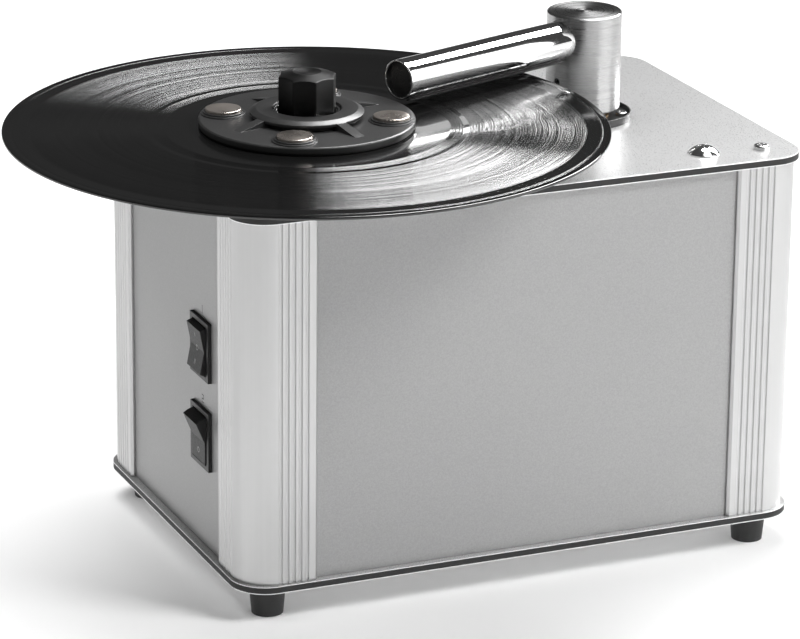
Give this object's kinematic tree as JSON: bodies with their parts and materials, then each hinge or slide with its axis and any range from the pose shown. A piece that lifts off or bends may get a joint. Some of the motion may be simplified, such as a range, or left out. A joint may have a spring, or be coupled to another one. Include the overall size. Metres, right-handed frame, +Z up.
{
  "type": "record cleaning machine",
  "caption": "Vacuum record cleaning machine: boxed motor unit with a clamped record on its deck, a swinging suction arm, two rocker switches and a waste tank inside.",
  "frame": {"origin": "on the floor under the middle of the base plate, level with the undersides of the feet", "axes": "+X to the right along the long front panel, +Y to the rear, +Z up"},
  "size_m": [0.4132, 0.3361, 0.2743],
  "materials": {
    "black_anodised": "black anodised",
    "black_plastic": "fine texture",
    "black_rubber": "matt",
    "black_steel": "black",
    "board_green": "solder mask",
    "bronze": "oiled",
    "chrome": "polished",
    "composite_sheet": "bead-blasted skins on a dark core",
    "gloss_black": "gloss",
    "magnet": "nickel plated",
    "motor_steel": "zinc plated",
    "panel_aluminium": "fine sparkle, matt",
    "post_aluminium": "satin anodised extrusion",
    "steel": "bright",
    "tank_plastic": "milky",
    "turned_aluminium": "turned",
    "velvet": "short pile",
    "vinyl": "pressed, grooved"
  },
  "bodies": {
    "chassis": {"base_plate": "composite_sheet", "top_plate": "composite_sheet", "post_front_left": "post_aluminium", "post_front_right": "post_aluminium", "post_rear_left": "post_aluminium", "post_rear_right": "post_aluminium", "front_panel": "panel_aluminium", "rear_panel": "panel_aluminium", "left_panel": "panel_aluminium", "right_panel": "panel_aluminium", "foot_front_left": "black_rubber", "foot_front_right": "black_rubber", "foot_rear_left": "black_rubber", "foot_rear_right": "black_rubber", "foot_screws": "steel", "m4_screws": "steel", "m3_screws": "steel", "strap_screws": "chrome", "tank_strap": "steel", "gearbox": "motor_steel", "gearmotor_can": "motor_steel", "arm_flange": "black_anodised", "suction_sleeve": "steel", "sleeve_seal": "black_rubber", "motor_switch_housing": "gloss_black", "vacuum_switch_housing": "gloss_black", "switch_terminals": "steel", "waste_tank": "tank_plastic", "tank_gasket": "black_rubber", "tank_lid": "tank_plastic", "suction_hose": "black_rubber", "fan_housing": "black_plastic", "vacuum_motor": "motor_steel", "motor_cup": "black_plastic", "mains_inlet": "black_plastic", "power_board": "board_green", "board_standoffs": "tank_plastic", "motor_capacitor": "gloss_black"},
    "platter_set": {"output_shaft": "steel", "platter": "turned_aluminium", "platter_magnets": "magnet", "platter_mat": "black_rubber", "spindle": "steel", "record": "vinyl"},
    "clamp": {"clamp_disc": "black_plastic", "clamp_seal": "black_rubber", "clamp_magnets": "magnet", "clamp_bush": "chrome", "clamp_knob": "black_plastic"},
    "swivel": {"thrust_washer": "bronze", "lift_spring": "steel"},
    "arm": {"arm_post": "turned_aluminium", "post_set_screw": "black_steel", "arm_tube": "chrome", "tube_plug": "black_plastic", "velvet_pads": "velvet"},
    "motor_switch": {"motor_rocker": "gloss_black"},
    "vacuum_switch": {"vacuum_rocker": "gloss_black"},
    "impeller": {"fan_impeller": "black_plastic"},
    "plug": {"drain_plug": "black_rubber"}
  },
  "joints": [
    {"name": "platter_spin", "type": "hinge", "parent": "chassis", "child": "platter_set", "pos_m": [-0.1062, -0.0649, 0.2445], "axis": [0, 0, 1], "continuous": true},
    {"name": "clamp_lift", "type": "slide", "parent": "platter_set", "child": "clamp", "axis": [0, 0, 1], "range_m": [0, 0.06]},
    {"name": "arm_swing", "type": "hinge", "parent": "chassis", "child": "swivel", "pos_m": [0.076, 0, 0.22075], "axis": [0, 0, 1], "range_deg": [-120, 60]},
    {"name": "arm_lift", "type": "slide", "parent": "swivel", "child": "arm", "axis": [0, 0, 1], "range_m": [-0.0008, 0.003], "stiffness_N_per_m": 2500, "springref_m": 0.00075, "deforming": ["lift_spring"]},
    {"name": "motor_rocker_tilt", "type": "hinge", "parent": "chassis", "child": "motor_switch", "pos_m": [-0.15106, -0.038, 0.1277], "axis": [0, 1, 0], "range_deg": [-12, 12]},
    {"name": "vacuum_rocker_tilt", "type": "hinge", "parent": "chassis", "child": "vacuum_switch", "pos_m": [-0.15106, -0.038, 0.0798], "axis": [0, 1, 0], "range_deg": [0, 24]},
    {"name": "fan_spin", "type": "hinge", "parent": "chassis", "child": "impeller", "pos_m": [-0.045, 0.035, 0.08], "axis": [0, 0, 1], "continuous": true},
    {"name": "plug_pull", "type": "slide", "parent": "chassis", "child": "plug", "axis": [0, 1, 0], "range_m": [0, 0.03]}
  ]
}
